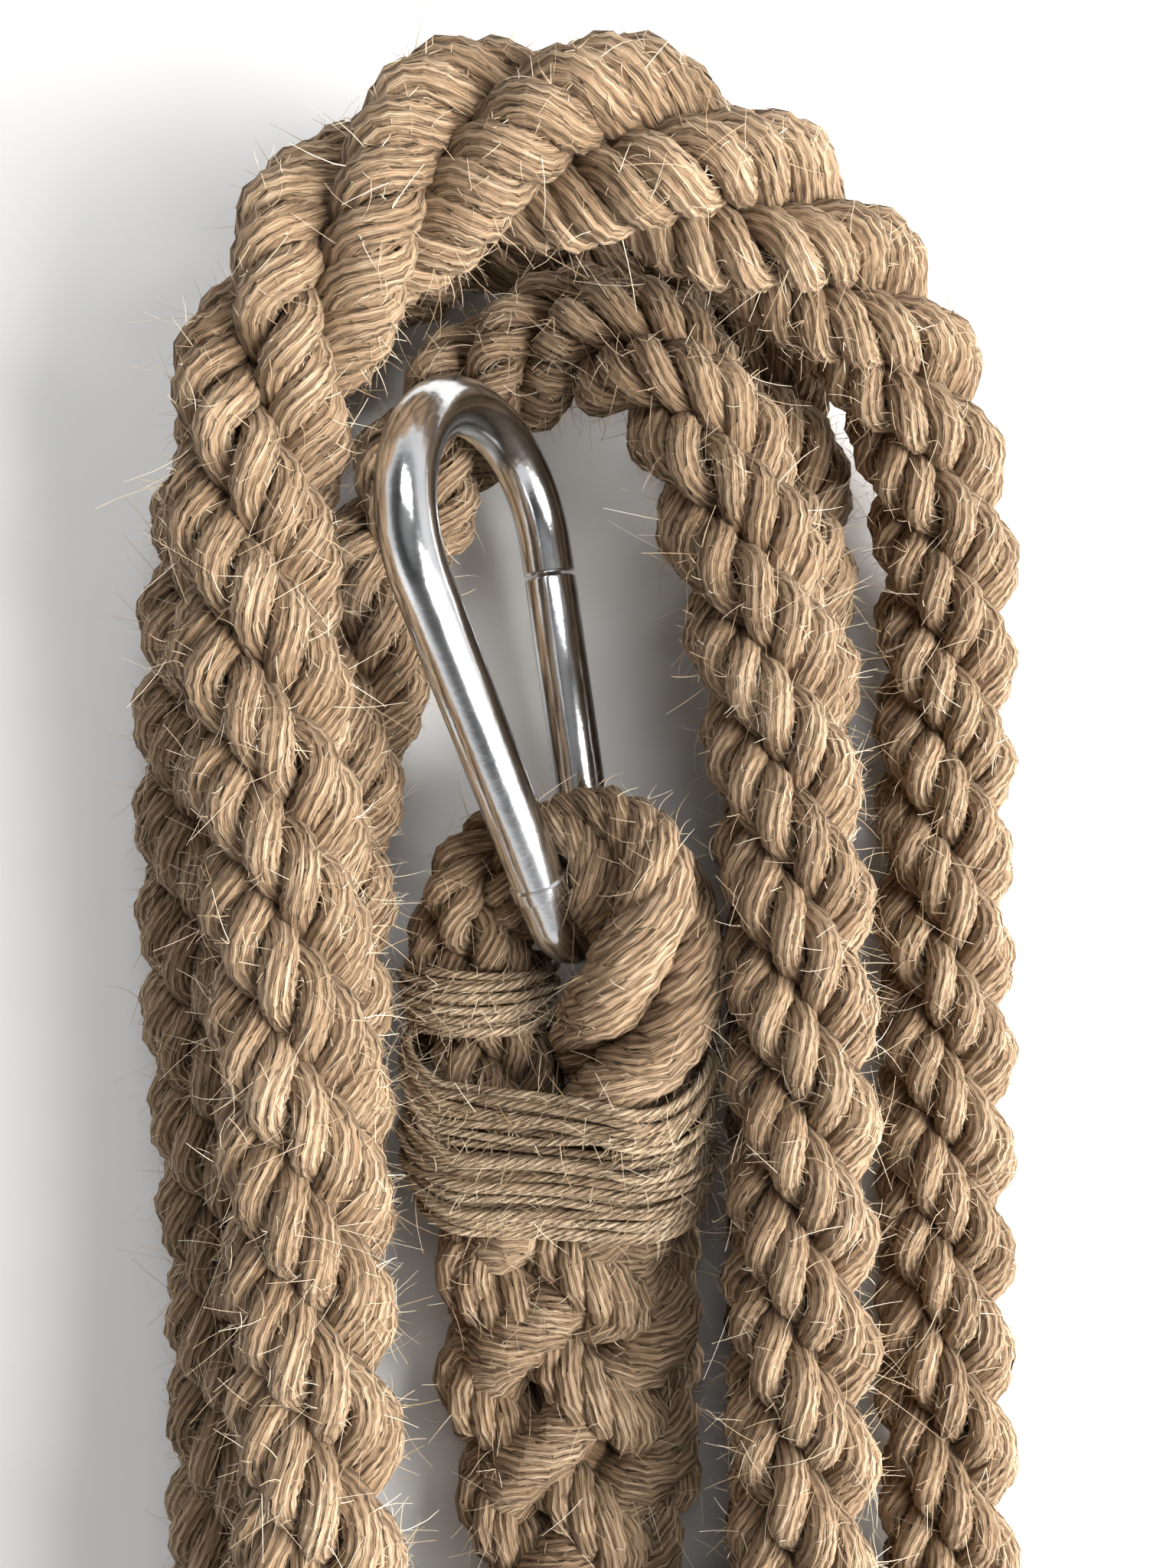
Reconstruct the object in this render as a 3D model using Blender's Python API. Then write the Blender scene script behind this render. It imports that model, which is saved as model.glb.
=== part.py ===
"""Hanging rope of a hammock: a hank of thick jute rope with a spring snap hook held in its spliced eye.

The hank lies on its back. X runs across it, Y along its legs towards the top turns, +Z up.
Lengths are millimetres while a shape is worked out, and MM turns them into Blender's metres.
"""

import math

import bmesh
import bpy
from mathutils import Matrix, Vector

MM = 0.001

# Rope: three strands of four cords each, laid round one another.
ROPE_RADIUS = 15.0
OPEN_ROPE_RADIUS = 16.5  # the lay opens on the long top turn
EYE_RADIUS = 14.6  # the two sides of the eye lie hard against each other
CROWN_RADIUS = 6.0  # the eye's crown is pinched where it passes through the hook
FIT_GAP = 0.3  # clear space between pieces that touch
TUBE_SIDES_RESOLUTION = 4
LEG_STEP = 22.0
TURN_STEP = 12.0
SQUARE_END = 4.0  # a run's last few millimetres are straight, so that its end is square to the route

# The foot of the hank's box, which is moved to the origin.
HANK_CENTRE = Vector((-0.99, -88.45, -0.4))

# Spring snap hook, pear shaped, of round wire.
WIRE_RADIUS = 5.5
HOOK_LENGTH = 120.0
WIDE_RADIUS = 25.0  # wire centreline round the wide end
NARROW_RADIUS = 10.5  # wire centreline round the narrow end
CENTRES_APART = HOOK_LENGTH - WIDE_RADIUS - NARROW_RADIUS - 2 * WIRE_RADIUS
HOOK_PLACE = Vector((-3.5, -21.7, 31.2))  # centre of the narrow end
HOOK_TILT = 13.5  # degrees, leaning to the left
HOOK_ROLL = 62.0  # degrees about its long axis, gate side down
HOOK_PITCH = 14.0  # degrees, wide end up
CROWN_AT = Vector((-1.1, 12.0, 0))  # centre of the rope's crown, from the narrow end's centre

# Places along the gate's own line, counted from the narrow end's contact point.
HINGE_AT = 9.0
NOSE_SHOULDER_AT = 66.0
HINGE_SHOULDER_AT = 1.0
GATE_START = 4.2
GATE_END = 65.4
TONGUE_THICK = 3.4
GATE_SLOT = 4.2
TONGUE_HALF_WIDTH = 3.4
TONGUE_END_AT = 13.2
NOSE_THICK = 2.6
NOSE_SLOT = 3.4
NOSE_TIP_AT = 58.0
HEAD_LENGTH = 2.4
HEAD_THICK = 5.0
HEAD_SLOT = 5.8
NOSE_HALF_WIDTH = 3.0
HEAD_HALF_WIDTH = 3.3
RIVET_RADIUS = 1.5
RIVET_BORE = 1.55
RIVET_HALF_LENGTH = 5.2
SPRING_BORE = 2.7
SPRING_BORE_END = 38.0
PLUNGER_RADIUS = 2.4
PLUNGER_LENGTH = 7.0
PLUNGER_TRAVEL = 0.9
SPRING_RADIUS = 2.0
SPRING_WIRE = 0.35
SPRING_TURNS = 8
COLLAR_RADIUS = 6.1
COLLAR_HALF_LENGTH = 1.7
COLLAR_AT = 8.0  # up the spine from the narrow end's contact point

# The rope's route, point by point, from the foot of the eye's splice to the whipped end.
LEAD = [(-5, -212, 20), (-6, -232, 17.5), (-14, -254, 15.3), (-29, -268, 15), (-46, -270, 15), (-63, -258, 15)]
LEFT_1 = [(-74, -234, 15.3), (-76.5, -208, 18.5), (-77, -185, 20), (-77.5, -160, 18), (-78.8, -120, 15)]
LEFT_1 += [(-81.5, -80, 15), (-85, -40, 15), (-86.2, 0, 15), (-84, 45, 15)]
TOP_1 = [(-74, 84, 15), (-54, 110, 15), (-28, 124.5, 15), (-3, 126, 15), (19, 114.6, 15), (34.6, 94.2, 15)]
RIGHT_1 = [(42.5, 73, 15), (45, 48, 15), (46, 15, 15), (46, -60, 15), (46, -130, 15), (46, -160, 18)]
RIGHT_1 += [(46, -185, 20), (46, -205, 18)]
BOTTOM_2 = [(43.5, -230, 18), (32, -252, 26), (12, -265, 40), (-12, -262, 56), (-34, -241, 71)]
LEFT_2 = [(-44, -208, 77), (-46, -160, 73), (-47.5, -118, 69.5), (-50.5, -60, 68), (-53.6, -17, 67.5)]
LEFT_2 += [(-57, 20, 68), (-58.5, 45, 69)]
TOP_2 = [(-55, 69.5, 71.5), (-43.8, 89.8, 74.5), (-27, 104, 75.2), (-8, 109.5, 74.5), (11, 109, 71), (29, 104.5, 63)]
TOP_2 += [(46, 97, 52.5), (59.5, 87, 43), (70.5, 71.5, 32.5), (77, 52, 23.5)]
RIGHT_2 = [(79.3, 20, 16), (79.8, -40, 15), (79.8, -100, 15), (79.6, -150, 17.5), (79.3, -185, 20), (78, -215, 22)]
BOTTOM_3 = [(73, -246, 27), (58, -277, 35), (36, -297, 42), (8, -304, 47), (-20, -299, 50), (-43, -281, 52)]
LEFT_3 = [(-55, -250, 50), (-57, -215, 46), (-56.5, -185, 44), (-56, -150, 38), (-55, -100, 35)]
LEFT_3 += [(-55.3, -40, 33.5), (-54, -8, 33), (-49, 18, 31.5), (-44, 40, 28)]
TOP_3 = [(-39.5, 59, 23.5), (-31, 78, 20), (-17, 91, 21.5), (-1, 95, 27.5), (12.5, 86, 36.6), (23.3, 70, 43)]
RIGHT_3 = [(30, 48, 45), (35, 24, 46), (38.5, 0, 46.2), (41.4, -40, 46.8), (41.6, -100, 46.8), (41.4, -150, 47.5)]
RIGHT_3 += [(40.3, -185, 50.5), (40.5, -205, 51.5), (41, -222, 51.5)]
ROUTE = LEAD + LEFT_1 + TOP_1 + RIGHT_1 + BOTTOM_2 + LEFT_2 + TOP_2 + RIGHT_2 + BOTTOM_3 + LEFT_3 + TOP_3 + RIGHT_3

# Where the route is parted into nodes: the index of the route point at each joint.
PARTS = [
    ("rope_lead", 0, 1),
    ("bottom_turn_1", 1, 7),
    ("left_leg_1", 7, 13),
    ("top_turn_1", 13, 22),
    ("right_leg_1", 22, 28),
    ("bottom_turn_2", 28, 34),
    ("left_leg_2", 34, 39),
    ("top_turn_2", 39, 51),
    ("right_leg_2", 51, 55),
    ("bottom_turn_3", 55, 64),
    ("left_leg_3", 64, 68),
    ("top_turn_3", 68, 78),
    ("right_leg_3", 78, 86),
]

# The eye: two sides, joined by a pinched crown that passes through the hook.
EYE_LEFT = [(-20.6, -90, 24), (-21.6, -72, 22.8), (-23.3, -52, 21), (-24, -38, 20.5)]
EYE_CROWN = [(-24, -36.5, 20.5), (-23.8, -31, 20.9), (-21.4, -23, 23.3), (-15.6, -15.5, 29.1), (-6.7, -10.7, 35.0)]
EYE_CROWN += [(3.2, -11.5, 40.5), (10.4, -20, 43.6), (11.8, -32, 42.8), (11.3, -41.6, 40.9), (10.7, -46.6, 39.1)]
EYE_RIGHT = [(10.5, -48, 38.5), (8.4, -66, 31.5), (8.4, -80, 28), (8.8, -90, 27)]
# Splice, where the strands are tucked back into the rope: (x, y, z, half width, half height).
SPLICE = [(-4.5, -93, 24, 29.5, 18.5), (-4, -110, 22, 31, 19), (-3, -135, 20, 30.5, 19), (-1.5, -155, 20, 28, 18.6)]
SPLICE += [(-3, -173, 22.2, 22.5, 17), (-3.8, -192, 21.8, 18.5, 16), (-5, -209, 20, 15, 15)]

SEIZING_THICK = 2.4
SIDE_SEIZING_THICK = 1.8
SLANT_ROOM = 1.2  # the eye's sides lean, so a level cut through one is wider than the rope
WHIPPING_THICK = 2.0
TIE_THICK = 3.6
TIE_ROOM = 0.9
TIE_AT = -185.0
TIE_HALF_WIDTH = 8.0
OUTLINE_POINTS = 40

JUTE = (0.42, 0.29, 0.17, 1)
TWINE = (0.50, 0.36, 0.22, 1)
ZINC = (0.62, 0.63, 0.65, 1)


def clear_scene():
    for obj in list(bpy.data.objects):
        bpy.data.objects.remove(obj)


def material(name, colour, roughness, metallic):
    made = bpy.data.materials.new(name)
    made.use_nodes = True
    shader = made.node_tree.nodes["Principled BSDF"]
    shader.inputs["Base Color"].default_value = colour
    shader.inputs["Roughness"].default_value = roughness
    shader.inputs["Metallic"].default_value = metallic
    return made


def to_world(point):
    """A point in the hank's millimetres, as Blender's metres about the foot of its box."""
    return (Vector(point) - HANK_CENTRE) * MM


def link(name, data, finish):
    obj = bpy.data.objects.new(name, data)
    data.materials.append(finish)
    bpy.context.scene.collection.objects.link(obj)
    return obj


def between(a, b, knot_a, knot_b, t):
    return a * ((knot_b - t) / (knot_b - knot_a)) + b * ((t - knot_a) / (knot_b - knot_a))


def smooth_line(points, per_span=16):
    """A smooth curve through every point: a centripetal Catmull-Rom spline."""
    points = [Vector(p) for p in points]
    ends = [2 * points[0] - points[1]] + points + [2 * points[-1] - points[-2]]
    line = []
    for p0, p1, p2, p3 in zip(ends, ends[1:], ends[2:], ends[3:]):
        k0 = 0.0
        k1 = k0 + math.sqrt((p1 - p0).length)
        k2 = k1 + math.sqrt((p2 - p1).length)
        k3 = k2 + math.sqrt((p3 - p2).length)
        for i in range(per_span):
            t = k1 + (k2 - k1) * i / per_span
            a1 = between(p0, p1, k0, k1, t)
            a2 = between(p1, p2, k1, k2, t)
            a3 = between(p2, p3, k2, k3, t)
            b1 = between(a1, a2, k0, k2, t)
            b2 = between(a2, a3, k1, k3, t)
            line.append(between(b1, b2, k1, k2, t))
    line.append(points[-1])
    return line


def read_evenly(line, step):
    """Points along the line about one step apart, both ends kept."""
    lengths = [(b - a).length for a, b in zip(line, line[1:])]
    total = sum(lengths)
    count = max(2, round(total / step))
    found = [line[0]]
    along = 0.0
    want = 1
    for a, b, length in zip(line, line[1:], lengths):
        while want < count and along + length >= total * want / count:
            found.append(a.lerp(b, (total * want / count - along) / length))
            want += 1
        along += length
    found.append(line[-1])
    return found


def tube(name, points, radius, finish):
    """A rope run as a round tube with filled caps."""
    data = bpy.data.curves.new(name, "CURVE")
    data.dimensions = "3D"
    data.twist_mode = "Z_UP"
    data.bevel_depth = radius * MM
    data.bevel_resolution = TUBE_SIDES_RESOLUTION
    data.use_fill_caps = True
    spline = data.splines.new("POLY")
    spline.points.add(len(points) - 1)
    for target, point in zip(spline.points, points):
        target.co = (*to_world(point), 1)
    return link(name, data, finish)


def lay_rope(finish):
    """The hank: one rope, parted into legs and turns whose square ends face each other."""
    per_span = 16
    line = smooth_line(ROUTE, per_span)
    for name, first, last in PARTS:
        step = TURN_STEP if "turn" in name else LEG_STEP
        radius = OPEN_ROPE_RADIUS if name == "top_turn_2" else ROPE_RADIUS
        start = first * per_span
        end = last * per_span
        run = read_evenly(line[start : end + 1], step)
        leaving = (line[start + 1] - line[max(start - 1, 0)]).normalized()
        arriving = (line[min(end + 1, len(line) - 1)] - line[end - 1]).normalized()
        head = [run[0] + leaving * FIT_GAP, run[0] + leaving * SQUARE_END]
        foot = [run[-1] - arriving * SQUARE_END, run[-1] - arriving * FIT_GAP]
        tube(name, head + run[1:-1] + foot, radius, finish)


def ring_solid(name, rings, finish, closed_tube=False):
    """A solid lofted through rings of points; closed_tube joins the last ring to the first."""
    mesh = bmesh.new()
    rows = [[mesh.verts.new(to_world(p)) for p in ring] for ring in rings]
    pairs = list(zip(rows, rows[1:]))
    if closed_tube:
        pairs.append((rows[-1], rows[0]))
    for low, high in pairs:
        for i in range(len(low)):
            j = (i + 1) % len(low)
            mesh.faces.new((low[i], low[j], high[j], high[i]))
    if not closed_tube:
        mesh.faces.new(list(reversed(rows[0])))
        mesh.faces.new(rows[-1])
    bmesh.ops.recalc_face_normals(mesh, faces=mesh.faces)
    data = bpy.data.meshes.new(name)
    mesh.to_mesh(data)
    mesh.free()
    data.shade_smooth()
    data.set_sharp_from_angle(angle=math.radians(40))
    return link(name, data, finish)


def wrap_outline(circles, y, grow):
    """The outline of a cord drawn tight round circles (x, z, radius), grown outwards."""
    outline = []
    for i in range(OUTLINE_POINTS):
        turn = 2 * math.pi * i / OUTLINE_POINTS
        way = Vector((math.cos(turn), 0, math.sin(turn)))
        x, z, radius = max(circles, key=lambda c: c[0] * way.x + c[1] * way.z + c[2])
        outline.append(Vector((x, y, z)) + way * (radius + grow))
    return outline


def lashing(name, stations, thick, finish):
    """Turns of twine round the rope, as one sleeve. stations are (y, circles) along it."""
    inner = [wrap_outline(circles, y, FIT_GAP) for y, circles in stations]
    outer = [wrap_outline(circles, y, FIT_GAP + thick) for y, circles in reversed(stations)]
    return ring_solid(name, inner + outer, finish, closed_tube=True)


def at_height(line, y):
    """(x, z) where a line of points crosses the plane at y."""
    for a, b in zip(line, line[1:]):
        if min(a.y, b.y) <= y <= max(a.y, b.y) and a.y != b.y:
            crossing = a.lerp(b, (y - a.y) / (b.y - a.y))
            return crossing.x, crossing.z
    raise ValueError(f"the line doesn't reach y = {y}")


def build_eye(finish):
    left = smooth_line(EYE_LEFT)
    right = smooth_line(EYE_RIGHT)
    tube("eye_left_side", read_evenly(left, TURN_STEP), EYE_RADIUS, finish)
    tube("eye_right_side", read_evenly(right, TURN_STEP), EYE_RADIUS, finish)
    crown = read_evenly(smooth_line(EYE_CROWN), 5.0)
    tube("eye_crown", crown, CROWN_RADIUS, finish)
    rings = []
    for x, y, z, half_width, half_height in SPLICE:
        ring = []
        for i in range(24):
            turn = 2 * math.pi * i / 24
            ring.append((x + half_width * math.cos(turn), y, z + half_height * math.sin(turn)))
        rings.append(ring)
    ring_solid("eye_splice", rings, finish)
    return left, right


def lash_eye(left, right, finish):
    """Twine round the left side of the eye, then two bands round both sides."""

    def both(y):
        return [(*at_height(side, y), EYE_RADIUS + SLANT_ROOM) for side in (left, right)]

    alone = [(y, [(*at_height(left, y), EYE_RADIUS + FIT_GAP)]) for y in (-52, -48, -43, -39)]
    lashing("side_seizing", alone, SIDE_SEIZING_THICK, finish)
    lashing("upper_seizing", [(y, both(y)) for y in (-64, -60, -55.5)], SEIZING_THICK, finish)
    lashing("lower_seizing", [(y, both(y)) for y in (-88.5, -84, -79, -74, -69.5)], SEIZING_THICK, finish)


def lash_hank(finish):
    """The whipping on the rope's end and the tie that holds the hank together."""
    line = smooth_line(RIGHT_3)
    band = [(y, [(*at_height(line, y), ROPE_RADIUS)]) for y in (-220, -214, -208)]
    lashing("end_whipping", band, WHIPPING_THICK, finish)
    stations = []
    for y in (TIE_AT - TIE_HALF_WIDTH, TIE_AT, TIE_AT + TIE_HALF_WIDTH):
        runs = []
        for run in (LEFT_1, RIGHT_1, LEFT_2, RIGHT_2, LEFT_3, RIGHT_3):
            runs.append((*at_height(smooth_line(run), y), ROPE_RADIUS + TIE_ROOM))
        stations.append((y, runs))
    lashing("hank_tie", stations, TIE_THICK, finish)


def hook_frame():
    """The hook's own frame: X across it towards the gate, Y along it to the wide end."""
    tilt = math.radians(HOOK_TILT)
    roll = math.radians(HOOK_ROLL)
    pitch = math.radians(HOOK_PITCH)
    along = Vector((-math.sin(tilt) * math.cos(pitch), math.cos(tilt) * math.cos(pitch), math.sin(pitch)))
    level = along.cross(Vector((0, 0, 1))).normalized()
    up = level.cross(along)
    across = level * math.cos(roll) - up * math.sin(roll)
    normal = across.cross(along)
    turn = Matrix((across, along, normal)).transposed().to_4x4()
    return Matrix.Translation(to_world(HOOK_PLACE)) @ turn


TAPER = math.asin((WIDE_RADIUS - NARROW_RADIUS) / CENTRES_APART)
GATE_FOOT = Vector((NARROW_RADIUS * math.cos(TAPER), -NARROW_RADIUS * math.sin(TAPER), 0))
GATE_WAY = Vector((math.sin(TAPER), math.cos(TAPER), 0))
GATE_OUT = Vector((math.cos(TAPER), -math.sin(TAPER), 0))
SPINE_FOOT = Vector((-GATE_FOOT.x, GATE_FOOT.y, 0))
SPINE_WAY = Vector((-GATE_WAY.x, GATE_WAY.y, 0))


def on_gate(along, out=0.0, side=0.0):
    """A point in the hook's frame, by its place along the gate's line."""
    return GATE_FOOT + GATE_WAY * along + GATE_OUT * out + Vector((0, 0, side))


def arc(centre_y, radius, start, end, count):
    points = []
    for i in range(count + 1):
        turn = start + (end - start) * i / count
        points.append(Vector((radius * math.cos(turn), centre_y + radius * math.sin(turn), 0)))
    return points


def swept(mesh, path, radius, sides=20):
    """A round bar along a path that lies in the hook's plane, both ends closed."""
    rows = []
    for i, point in enumerate(path):
        ahead = path[min(i + 1, len(path) - 1)] - path[max(i - 1, 0)]
        out = Vector((ahead.y, -ahead.x, 0)).normalized()
        row = []
        for k in range(sides):
            turn = 2 * math.pi * (k + 0.5) / sides
            offset = out * math.cos(turn) + Vector((0, 0, math.sin(turn)))
            row.append(mesh.verts.new(point + offset * radius))
        rows.append(row)
    for low, high in zip(rows, rows[1:]):
        for k in range(sides):
            mesh.faces.new((low[k], low[(k + 1) % sides], high[(k + 1) % sides], high[k]))
    mesh.faces.new(list(reversed(rows[0])))
    mesh.faces.new(rows[-1])


def slab(mesh, start, end, half_width, thick, out=0.0):
    """A plate along the gate's line, its thickness across the hook's plane."""
    corners = []
    for along in (start, end):
        for side in (-thick / 2, thick / 2):
            for edge in (-half_width, half_width):
                corners.append(mesh.verts.new(on_gate(along, out + edge, side)))
    for face in ((0, 1, 3, 2), (4, 5, 7, 6), (0, 1, 5, 4), (2, 3, 7, 6), (0, 2, 6, 4), (1, 3, 7, 5)):
        mesh.faces.new([corners[i] for i in face])


def pin(mesh, centre, way, radius, half_length, sides=24):
    """A closed cylinder about a centre, along way."""
    across = way.orthogonal().normalized()
    other = way.cross(across)
    ends = []
    for end in (-half_length, half_length):
        row = []
        for k in range(sides):
            turn = 2 * math.pi * k / sides
            spoke = across * math.cos(turn) + other * math.sin(turn)
            row.append(mesh.verts.new(centre + way * end + spoke * radius))
        ends.append(row)
    for k in range(sides):
        mesh.faces.new((ends[0][k], ends[0][(k + 1) % sides], ends[1][(k + 1) % sides], ends[1][k]))
    mesh.faces.new(list(reversed(ends[0])))
    mesh.faces.new(ends[1])


def hook_piece(name, fill, pivot, frame, finish):
    """An object of the hook, its origin on pivot. fill draws its mesh in the hook's frame."""
    mesh = bmesh.new()
    fill(mesh)
    bmesh.ops.recalc_face_normals(mesh, faces=mesh.faces)
    bmesh.ops.transform(mesh, matrix=Matrix.Scale(MM, 4) @ Matrix.Translation(-pivot), verts=mesh.verts)
    data = bpy.data.meshes.new(name)
    mesh.to_mesh(data)
    mesh.free()
    data.shade_smooth()
    data.set_sharp_from_angle(angle=math.radians(35))
    obj = link(name, data, finish)
    obj.matrix_world = frame @ Matrix.Translation(pivot * MM)
    return obj


def combine(obj, helper, operation):
    helper.hide_render = True
    helper.display_type = "WIRE"
    change = obj.modifiers.new(helper.name, "BOOLEAN")
    change.operation = operation
    change.object = helper


def wire_path():
    """The body's wire, from the nose's shoulder round the wide end and back to the hinge's shoulder."""
    path = [on_gate(NOSE_SHOULDER_AT), on_gate(NOSE_SHOULDER_AT + 3)]
    path += arc(CENTRES_APART, WIDE_RADIUS, -TAPER, math.pi + TAPER, 28)
    path += [SPINE_FOOT + SPINE_WAY * at for at in (54, 36, 18)]
    path += arc(0, NARROW_RADIUS, math.pi + TAPER, 2 * math.pi - TAPER, 16)
    path += [on_gate(HINGE_SHOULDER_AT)]
    return path


def build_hook_body(frame, finish, pivot):
    body = hook_piece("hook_body", lambda m: swept(m, wire_path(), WIRE_RADIUS), pivot, frame, finish)
    plates = [
        ("nose_blade", NOSE_TIP_AT + 0.8, NOSE_SHOULDER_AT + 1.3, NOSE_HALF_WIDTH, NOSE_THICK),
        ("nose_head", NOSE_TIP_AT, NOSE_TIP_AT + HEAD_LENGTH, HEAD_HALF_WIDTH, HEAD_THICK),
        ("hinge_tongue", HINGE_SHOULDER_AT - 1.7, TONGUE_END_AT, TONGUE_HALF_WIDTH, TONGUE_THICK),
    ]
    for name, start, end, half_width, thick in plates:
        plate = hook_piece(
            name, lambda m: slab(m, start, end, half_width, thick), pivot, frame, finish
        )
        combine(body, plate, "UNION")
    hole = hook_piece(
        "tongue_bore",
        lambda m: pin(m, on_gate(HINGE_AT), Vector((0, 0, 1)), RIVET_BORE, WIRE_RADIUS),
        pivot,
        frame,
        finish,
    )
    combine(body, hole, "DIFFERENCE")
    return body


def build_gate(frame, finish):
    """The gate: a bar slotted at both ends and bored for its spring."""
    pivot = on_gate(HINGE_AT)
    gate = hook_piece(
        "gate", lambda m: swept(m, [on_gate(GATE_START), on_gate(GATE_END)], WIRE_RADIUS), pivot, frame, finish
    )
    wide = WIRE_RADIUS * 1.5
    cuts = {
        "hinge_slot": lambda m: slab(m, GATE_START - 1, TONGUE_END_AT + 1.6, wide, GATE_SLOT),
        "nose_slot": lambda m: slab(m, NOSE_TIP_AT - 1, GATE_END + 1, wide, NOSE_SLOT, wide - 3.9),
        "head_slot": lambda m: slab(
            m, NOSE_TIP_AT - 0.8, NOSE_TIP_AT + HEAD_LENGTH + 0.6, wide, HEAD_SLOT, wide - 3.9
        ),
        "rivet_bore": lambda m: pin(m, on_gate(HINGE_AT), Vector((0, 0, 1)), RIVET_BORE, 2 * WIRE_RADIUS),
        "spring_bore": lambda m: pin(
            m,
            on_gate((SPRING_BORE_END + HINGE_AT) / 2),
            GATE_WAY,
            SPRING_BORE,
            (SPRING_BORE_END - HINGE_AT) / 2,
        ),
    }
    for name, fill in cuts.items():
        combine(gate, hook_piece(name, fill, pivot, frame, finish), "DIFFERENCE")
    return gate


def build_rivet(frame, finish):
    pivot = on_gate(HINGE_AT)
    hook_piece(
        "hinge_rivet",
        lambda m: pin(m, pivot, Vector((0, 0, 1)), RIVET_RADIUS, RIVET_HALF_LENGTH),
        pivot,
        frame,
        finish,
    )


def build_plunger(frame, finish):
    """The plunger that the spring presses on the tongue's end."""
    start = TONGUE_END_AT + FIT_GAP
    middle = on_gate(start + PLUNGER_LENGTH / 2)
    hook_piece(
        "spring_plunger",
        lambda m: pin(m, middle, GATE_WAY, PLUNGER_RADIUS, PLUNGER_LENGTH / 2, 16),
        middle,
        frame,
        finish,
    )


def build_spring(frame, finish):
    start = TONGUE_END_AT + FIT_GAP + PLUNGER_LENGTH + PLUNGER_TRAVEL + FIT_GAP + SPRING_WIRE
    end = SPRING_BORE_END - FIT_GAP - SPRING_WIRE
    sides = 6
    per_turn = 12

    def coil(mesh):
        rows = []
        count = SPRING_TURNS * per_turn
        for i in range(count + 1):
            turn = 2 * math.pi * i / per_turn
            out = GATE_OUT * math.cos(turn) + Vector((0, 0, math.sin(turn)))
            centre = on_gate(start + (end - start) * i / count) + out * SPRING_RADIUS
            row = []
            for k in range(sides):
                around = 2 * math.pi * k / sides
                offset = out * math.cos(around) + GATE_WAY * math.sin(around)
                row.append(mesh.verts.new(centre + offset * SPRING_WIRE))
            rows.append(row)
        for low, high in zip(rows, rows[1:]):
            for k in range(sides):
                mesh.faces.new((low[k], low[(k + 1) % sides], high[(k + 1) % sides], high[k]))
        mesh.faces.new(list(reversed(rows[0])))
        mesh.faces.new(rows[-1])

    hook_piece("gate_spring", coil, on_gate(start), frame, finish)


def build_collar(frame, finish, pivot):
    """The ring pressed on the spine just above the narrow bend."""
    middle = SPINE_FOOT + SPINE_WAY * COLLAR_AT

    def sleeve(mesh):
        rows = []
        for radius, along in (
            (WIRE_RADIUS + 0.1, -COLLAR_HALF_LENGTH),
            (COLLAR_RADIUS, -COLLAR_HALF_LENGTH),
            (COLLAR_RADIUS, COLLAR_HALF_LENGTH),
            (WIRE_RADIUS + 0.1, COLLAR_HALF_LENGTH),
        ):
            across = Vector((SPINE_WAY.y, -SPINE_WAY.x, 0))
            row = []
            for k in range(24):
                turn = 2 * math.pi * k / 24
                offset = across * math.cos(turn) + Vector((0, 0, math.sin(turn)))
                row.append(mesh.verts.new(middle + SPINE_WAY * along + offset * radius))
            rows.append(row)
        for low, high in zip(rows, rows[1:] + rows[:1]):
            for k in range(24):
                mesh.faces.new((low[k], low[(k + 1) % 24], high[(k + 1) % 24], high[k]))

    hook_piece("collar_ring", sleeve, pivot, frame, finish)


def main():
    clear_scene()
    jute = material("jute_rope", JUTE, 0.9, 0.0)
    twine = material("jute_twine", TWINE, 0.85, 0.0)
    zinc = material("zinc_plated_steel", ZINC, 0.22, 1.0)
    lay_rope(jute)
    left, right = build_eye(jute)
    lash_eye(left, right, twine)
    lash_hank(twine)
    frame = hook_frame()
    build_hook_body(frame, zinc, CROWN_AT)
    build_collar(frame, zinc, CROWN_AT)
    build_gate(frame, zinc)
    build_rivet(frame, zinc)
    build_plunger(frame, zinc)
    build_spring(frame, zinc)


main()
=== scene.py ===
"""Looks of a hammock's hanging rope: a hank of cable-laid jute, its lashed eye and its snap hook.

Everything is in metres. The route lists are in the hank's own frame, as in the CAD source, and
to_row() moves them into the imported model's frame.
"""

import math

import bmesh
import bpy
import numpy as np
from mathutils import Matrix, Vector


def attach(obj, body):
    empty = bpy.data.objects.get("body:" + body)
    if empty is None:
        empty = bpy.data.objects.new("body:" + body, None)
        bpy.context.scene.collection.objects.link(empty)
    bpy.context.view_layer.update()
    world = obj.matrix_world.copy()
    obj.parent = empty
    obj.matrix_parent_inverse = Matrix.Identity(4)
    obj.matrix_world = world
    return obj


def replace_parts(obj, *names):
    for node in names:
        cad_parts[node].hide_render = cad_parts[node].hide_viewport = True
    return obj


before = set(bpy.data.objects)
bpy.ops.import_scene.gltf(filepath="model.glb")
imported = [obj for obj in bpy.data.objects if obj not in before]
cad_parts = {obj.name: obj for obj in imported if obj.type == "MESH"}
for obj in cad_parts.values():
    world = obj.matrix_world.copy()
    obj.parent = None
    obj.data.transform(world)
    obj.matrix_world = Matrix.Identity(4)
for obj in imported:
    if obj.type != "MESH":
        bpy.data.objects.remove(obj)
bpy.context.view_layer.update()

HANK_CENTRE = np.array([-0.00099, -0.08845, -0.0004])

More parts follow.
